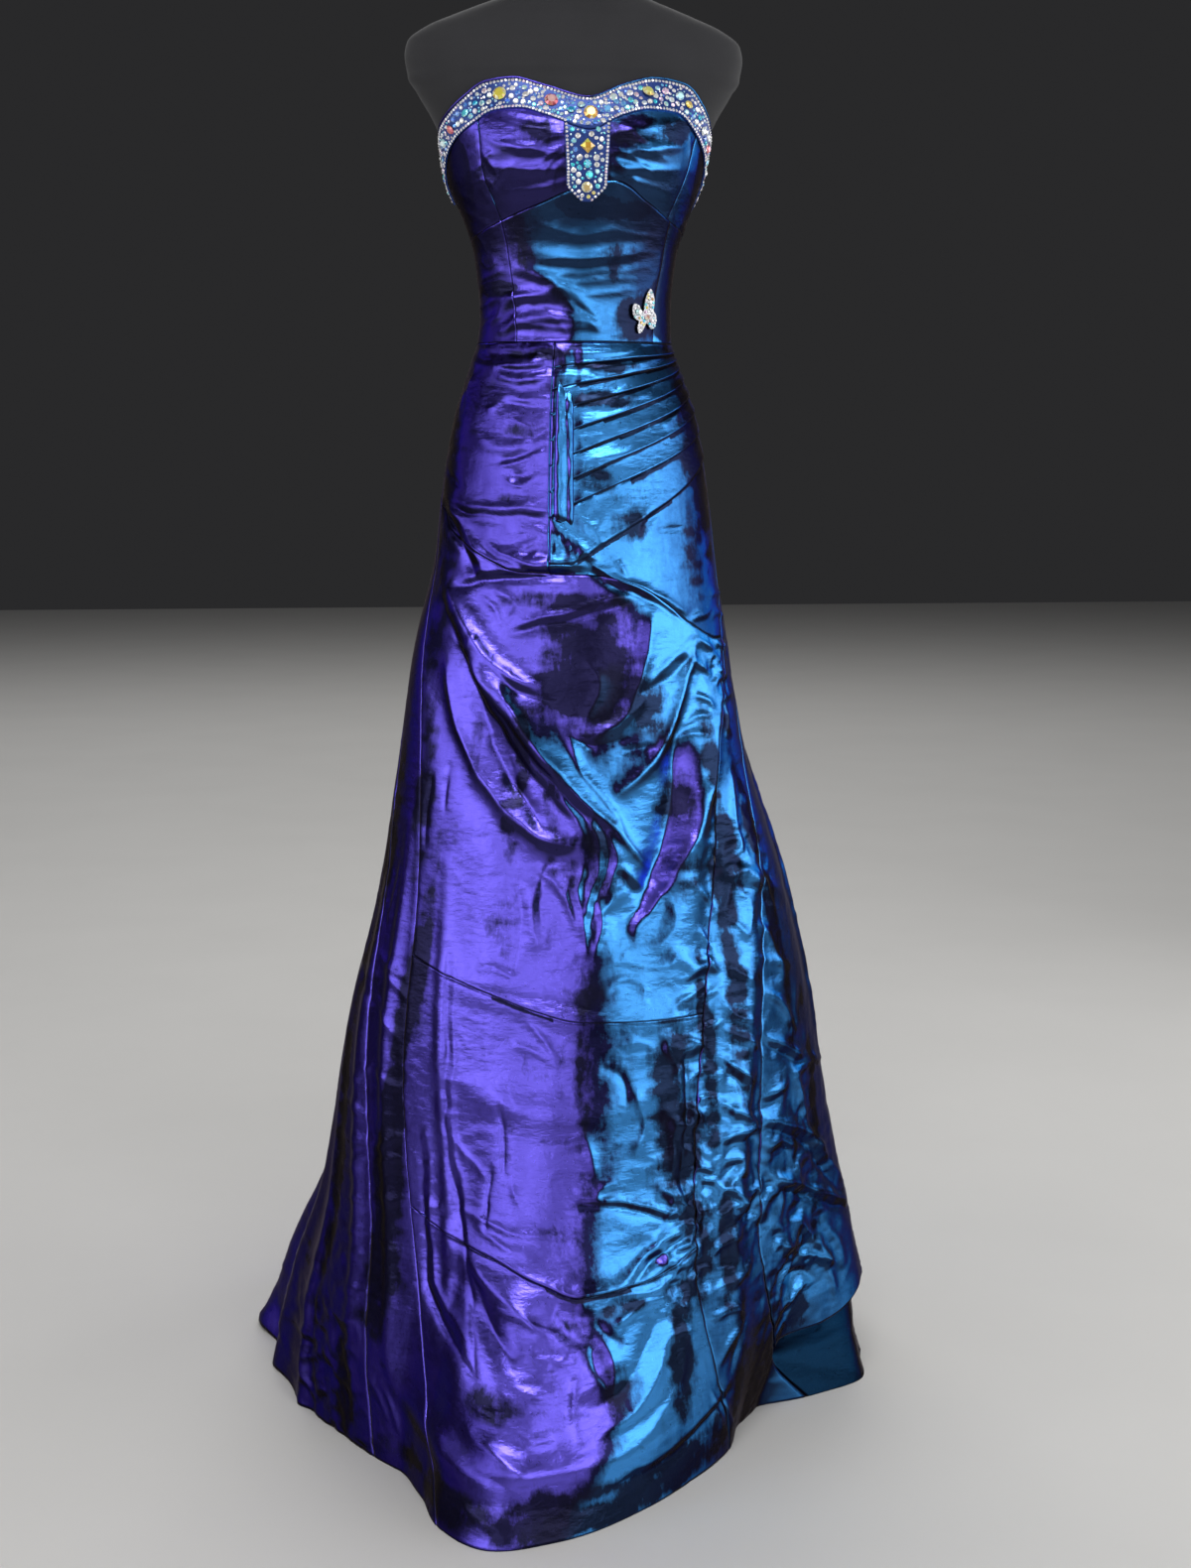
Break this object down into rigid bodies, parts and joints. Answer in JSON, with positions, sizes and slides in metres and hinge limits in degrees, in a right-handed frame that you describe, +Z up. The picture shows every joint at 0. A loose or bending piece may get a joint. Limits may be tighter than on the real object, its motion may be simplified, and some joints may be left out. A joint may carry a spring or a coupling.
{
  "type": "evening gown on a limbless dress form",
  "caption": "Floor-length strapless gown in shot taffeta with a beaded sweetheart neckline, draped hip and swept train, on a limbless dress form with a round stand.",
  "frame": {"origin": "centre of the underside of the stand's round base, on the floor", "axes": "+Z up along the stand's pole, -Y towards the front of the gown, +X towards the wearer's left"},
  "size_m": [0.7409, 1.0232, 1.64],
  "materials": {
    "shot_taffeta": "crisp two-tone taffeta, violet one way and blue the other, with a metallic sheen",
    "crystal_beadwork": "dense cut crystals, pale blue, clear and amber, high gloss",
    "form_jersey": "matt black stretch jersey",
    "stand_metal": "satin dark grey paint"
  },
  "bodies": {
    "root": {"cup_right": "shot_taffeta", "cup_left": "shot_taffeta", "cup_side_right": "shot_taffeta", "cup_side_left": "shot_taffeta", "midriff_front": "shot_taffeta", "side_front_right": "shot_taffeta", "side_front_left": "shot_taffeta", "side_back_right": "shot_taffeta", "side_back_left": "shot_taffeta", "back_right": "shot_taffeta", "back_left": "shot_taffeta", "neckline_band": "crystal_beadwork", "centre_drop": "crystal_beadwork", "butterfly_brooch": "crystal_beadwork", "hip_right": "shot_taffeta", "hip_left": "shot_taffeta", "hip_tuck": "shot_taffeta", "skirt_front": "shot_taffeta", "skirt_side_front_right": "shot_taffeta", "skirt_side_back_right": "shot_taffeta", "skirt_back_right": "shot_taffeta", "skirt_side_front_left": "shot_taffeta", "skirt_side_back_left": "shot_taffeta", "skirt_back_left": "shot_taffeta", "skirt_under_left": "shot_taffeta", "form_torso": "form_jersey", "form_neck": "form_jersey", "form_pole": "stand_metal", "form_base": "stand_metal"}
  },
  "joints": []
}
